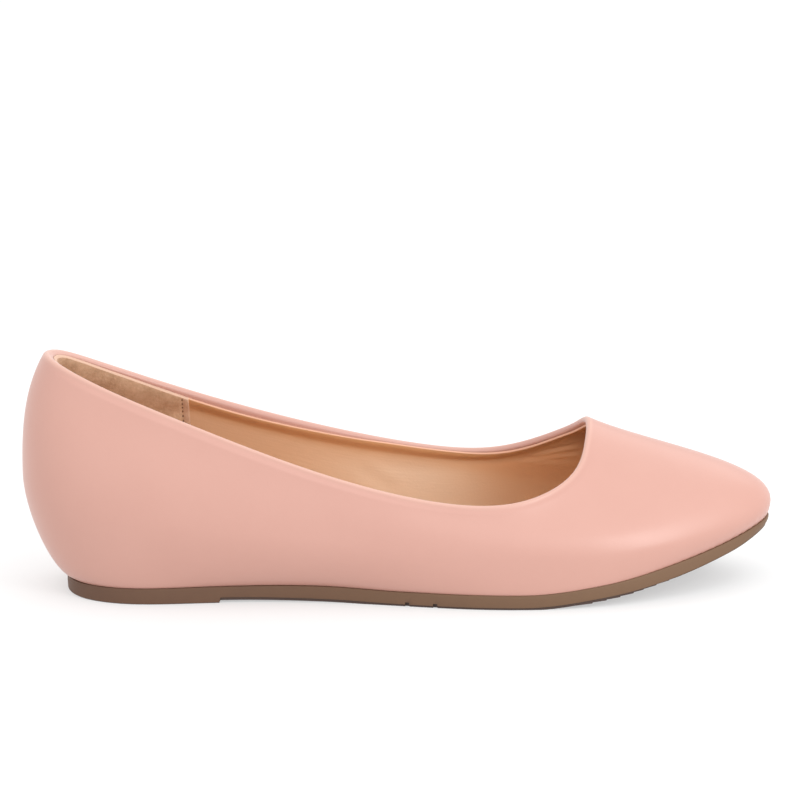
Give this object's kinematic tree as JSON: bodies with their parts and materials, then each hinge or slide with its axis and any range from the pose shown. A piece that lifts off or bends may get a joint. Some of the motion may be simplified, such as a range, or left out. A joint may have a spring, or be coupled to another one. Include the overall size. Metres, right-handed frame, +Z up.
{
  "type": "wedge ballet flat",
  "caption": "Slip-on ballet flat with an almond toe, wide throat, one-piece leather upper, hidden heel wedge, padded footbed and thin rubber outsole with heel pad.",
  "frame": {"origin": "middle of the shoe's box, on the floor under it", "axes": "+X towards the toe, +Y towards the inner side of the foot, +Z up"},
  "size_m": [0.264, 0.0834, 0.0845],
  "materials": {
    "upper_leather": "smooth, soft sheen, salmon pink",
    "outsole_rubber": "matte, taupe brown",
    "wedge_foam": "matte foam, hidden",
    "insole_sock": "smooth, tan",
    "lining_leather": "smooth, tan",
    "heel_grip_suede": "napped suede, beige",
    "thread": "matte thread"
  },
  "bodies": {
    "root": {"upper": "upper_leather", "outsole": "outsole_rubber", "wedge": "wedge_foam", "insole": "insole_sock"}
  },
  "joints": []
}
